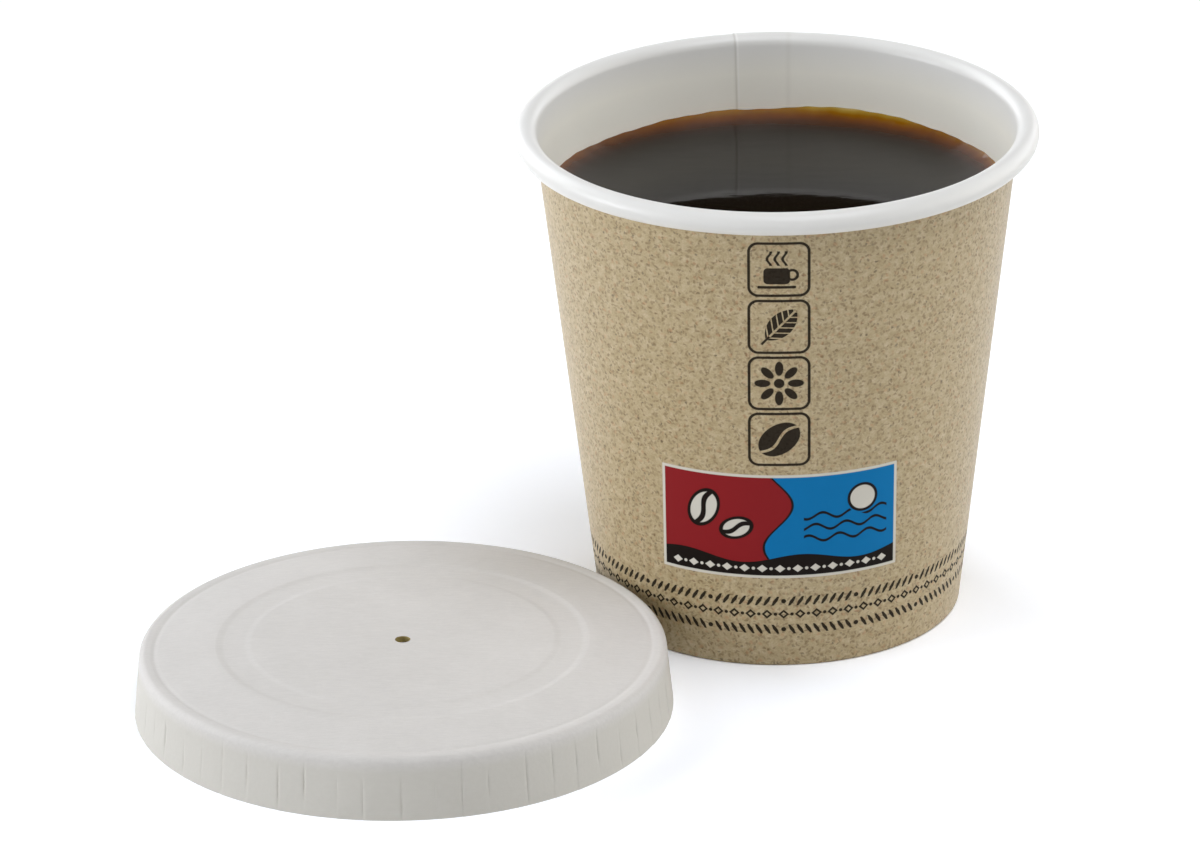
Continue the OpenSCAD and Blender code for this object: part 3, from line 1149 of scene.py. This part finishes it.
def off_line(board, column):
    """The pleat's number and the distance from its line in mm, with a sign."""
    number, across, swing = pleat_parts(board, column)
    crowded, shift = from_line(across, swing)
    return number, (crowded + shift - swing) * (math.pi / 180 * MOUTH_R)


def line_strength(low, high, seed):
    def strength(board, angle, column, given):
        number, off = off_line(board, column)
        groove = (1 - abs(off) / given.out("Line width")).math("MAXIMUM", 0.0)
        depth = chance(board, number, low, high, seed).math("MAXIMUM", 0.0)
        return groove * depth * given.out("Line depth")
    return strength


def fold_strength(board, angle, column, given):
    number, off = off_line(board, column)
    side = (off / FOLD_RISE_W).math("MINIMUM", 1.0).math("MAXIMUM", -1.0)
    fade = (1 - abs(off) / FOLD_REACH).math("MAXIMUM", 0.0)
    return side * fade * chance(board, number, -0.3, 1.0, FOLD_SEED) * given.out("Fold height")


line_strengths = {part: line_strength(*draw) for part, draw in LINE_DRAWS.items()}
lid_strengths = {"folds": fold_strength, **line_strengths}
lid_sizes = {"Line width": PLEAT_LINE, "Line depth": PLEAT_DEPTH, "Fold height": PLEAT_FOLD}
lid_tree = turning_tree("turn_lid", pleated_angle, lid_strengths, lid_sizes, closed=True)
lid = turned(lid_section(), lid_tree, PLEATS * PLEAT_COLUMNS, pulp, core, lid_sizes)
lid.data.transform(Matrix.Translation((lid_x * MM, lid_y * MM, 0)))
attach(lid, "root")
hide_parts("lid")

# %% [markdown]
# The floor is plain and pale. Its white comes from its own colour as the camera and mirrors
# see it, never from more light on the cup, and it keeps the soft shadow at the foot. The
# colour leans to blue, which takes up the warm light thrown back by the kraft, so the shadow
# stays grey. Far from the cup the same white is given as a plain strength of 1.
# %% Floor
FLOOR_HALF = 3
FLOOR_SEEN = (1.12, 1.14, 1.17)
FLOOR_MATT = (0.9, 0.9, 0.9)
FLOOR_NEAR = 110
FLOOR_FAR = 260


def light_path_share(board, *outputs):
    rays = board.add("ShaderNodeLightPath")
    return combined("MAXIMUM", [rays.out(name) for name in outputs])


def floor_material():
    material, board = new_material("floor_white")
    seen = light_path_share(board, "Is Camera Ray", "Is Glossy Ray", "Is Transmission Ray")
    spot = object_mm(board)
    away = board.vector("LENGTH", spot, (0, 0, 0))
    far = ((away - FLOOR_NEAR) / (FLOOR_FAR - FLOOR_NEAR)).clamped()
    matt = board.add("ShaderNodeBsdfDiffuse", {}, {"Color": (*FLOOR_MATT, 1)})
    near_white = board.add("ShaderNodeBsdfDiffuse", {}, {"Color": (*FLOOR_SEEN, 1)})
    far_white = board.add("ShaderNodeEmission", {}, {"Color": (1, 1, 1, 1), "Strength": 1.0})
    white = board.add("ShaderNodeMixShader", {}, [far, near_white, far_white])
    both_ways = board.add("ShaderNodeMixShader", {}, [seen, matt, white])
    board.add("ShaderNodeOutputMaterial", {}, {"Surface": both_ways})
    return material


floor_mesh = bpy.data.meshes.new("floor")
corners = [(x * FLOOR_HALF, y * FLOOR_HALF, 0) for x, y in ((-1, -1), (1, -1), (1, 1), (-1, 1))]
floor_mesh.from_pydata(corners, [], [(0, 1, 2, 3)])
floor_mesh.materials.append(floor_material())
floor = bpy.data.objects.new("floor", floor_mesh)
bpy.context.scene.collection.objects.link(floor)
print(f"floor: {2 * FLOOR_HALF} m square, matt for light and white to the eye")

# %% [markdown]
# Wide soft lamps stand above, behind and to the left, with a weaker one to the right, and two
# faint ones fill from the front. So the front of the cup and of the lid's skirt stay darker
# than their sides, where the kraft takes a broad sheen. The pale backdrop reaches a little
# way up from the floor; above it the room is dim, and the coffee mirrors that dark room.
# A lamp has its place and size in metres, its power and its tint.
# %% Lamps and room
AIM = Vector((-0.02, -0.01, 0.03))
COOL = (0.97, 0.99, 1.04)
WARM = (1.02, 0.99, 0.93)
LAMPS = [
    ("lamp_back_left", (-0.8, 0.75, 0.55), 0.9, 8.5, COOL),
    ("lamp_low_left", (-1.2, -0.3, 0.3), 0.6, 8.0, COOL),
    ("lamp_front_left", (-0.85, -0.75, 0.65), 0.9, 1.0, WARM),
    ("lamp_right", (1.1, 0.05, 0.4), 0.9, 4.0, WARM),
    ("lamp_back_right", (0.8, 0.75, 0.55), 0.9, 4.5, COOL),
    ("lamp_front_right", (0.85, -0.75, 0.65), 0.9, 0.6, WARM),
    ("lamp_top", (0.25, -0.4, 1.25), 0.9, 11.5, COOL),
]
ROOM = 0.01
BACKDROP_TOP = math.sin(math.radians(15))


def soft_lamp(name, at, size, power, colour):
    data = bpy.data.lights.new(name, "AREA")
    data.shape = "SQUARE"
    data.size = size
    data.energy = power
    data.color = colour
    lamp = bpy.data.objects.new(name, data)
    way = AIM - Vector(at)
    lamp.matrix_world = Matrix.Translation(at) @ way.to_track_quat("-Z", "Y").to_matrix().to_4x4()
    bpy.context.scene.collection.objects.link(lamp)


for name, at, size, power, colour in LAMPS:
    soft_lamp(name, at, size, power, colour)

world = bpy.data.worlds.new("studio")
world.use_nodes = True
world.node_tree.nodes.clear()
sky = Board(world.node_tree)
way_up = sky.split(sky.add("ShaderNodeTexCoord").out("Generated"))[2]
mirrored = light_path_share(sky, "Is Glossy Ray", "Is Transmission Ray")
on_backdrop = mirrored * way_up.math("LESS_THAN", BACKDROP_TOP)
seen = light_path_share(sky, "Is Camera Ray").math("MAXIMUM", on_backdrop)
dim = sky.add("ShaderNodeBackground", {}, {"Color": (1, 1, 1, 1), "Strength": ROOM})
white = sky.add("ShaderNodeBackground", {}, {"Color": (1, 1, 1, 1), "Strength": 1.0})
room = sky.add("ShaderNodeMixShader", {}, [seen, dim, white])
sky.add("ShaderNodeOutputWorld", {}, {"Surface": room})
bpy.context.scene.world = world
bpy.context.scene.view_settings.view_transform = "Standard"
print(f"{len(LAMPS)} lamps and a dim room")
